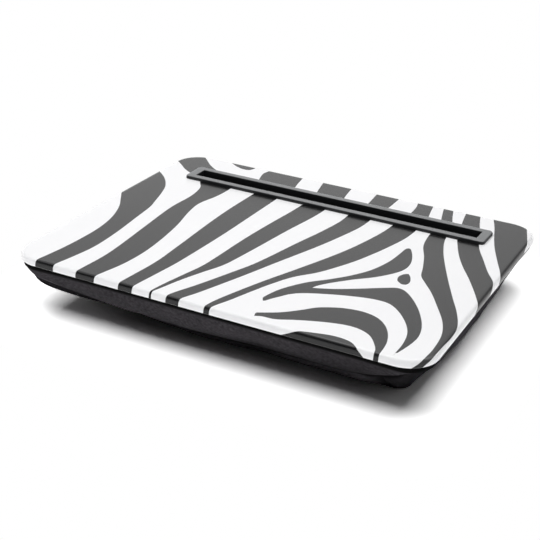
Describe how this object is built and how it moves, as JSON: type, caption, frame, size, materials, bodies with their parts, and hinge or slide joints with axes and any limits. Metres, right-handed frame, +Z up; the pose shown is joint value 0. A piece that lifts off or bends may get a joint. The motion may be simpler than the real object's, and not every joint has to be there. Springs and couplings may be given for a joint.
{
  "type": "lap tray with cushion",
  "caption": "Rounded rectangular lap tray with a striped print and a raised tablet slot, on a bead-filled fabric cushion that tucks in towards the lap.",
  "frame": {"origin": "on the surface the cushion stands on, under the middle of the tray", "axes": "+X along the tray's long front edge to the right, +Y from the front edge towards the tablet slot, +Z up"},
  "size_m": [0.3484, 0.2774, 0.0528],
  "materials": {
    "printed_deck": "satin white moulding with black stripes printed over the deck and down the rim",
    "black_plastic": "fine matte moulding",
    "base_plastic": "plain moulding, hidden by the cushion",
    "screw_steel": "zinc plated",
    "cover_cloth": "tight black weave, matte",
    "liner_cloth": "thin non-woven",
    "beads": "expanded polystyrene beads, as one soft body"
  },
  "bodies": {
    "root": {"tray_top": "printed_deck", "slot_bezel": "black_plastic", "slot_trough": "black_plastic", "base_plate": "base_plastic", "base_screws": "screw_steel", "hem_binding": "cover_cloth", "cover_front_gusset": "cover_cloth", "cover_right_gusset": "cover_cloth", "cover_rear_gusset": "cover_cloth", "cover_left_gusset": "cover_cloth", "cover_bottom_panel": "cover_cloth", "bead_liner": "liner_cloth", "bead_fill": "beads"}
  },
  "joints": []
}
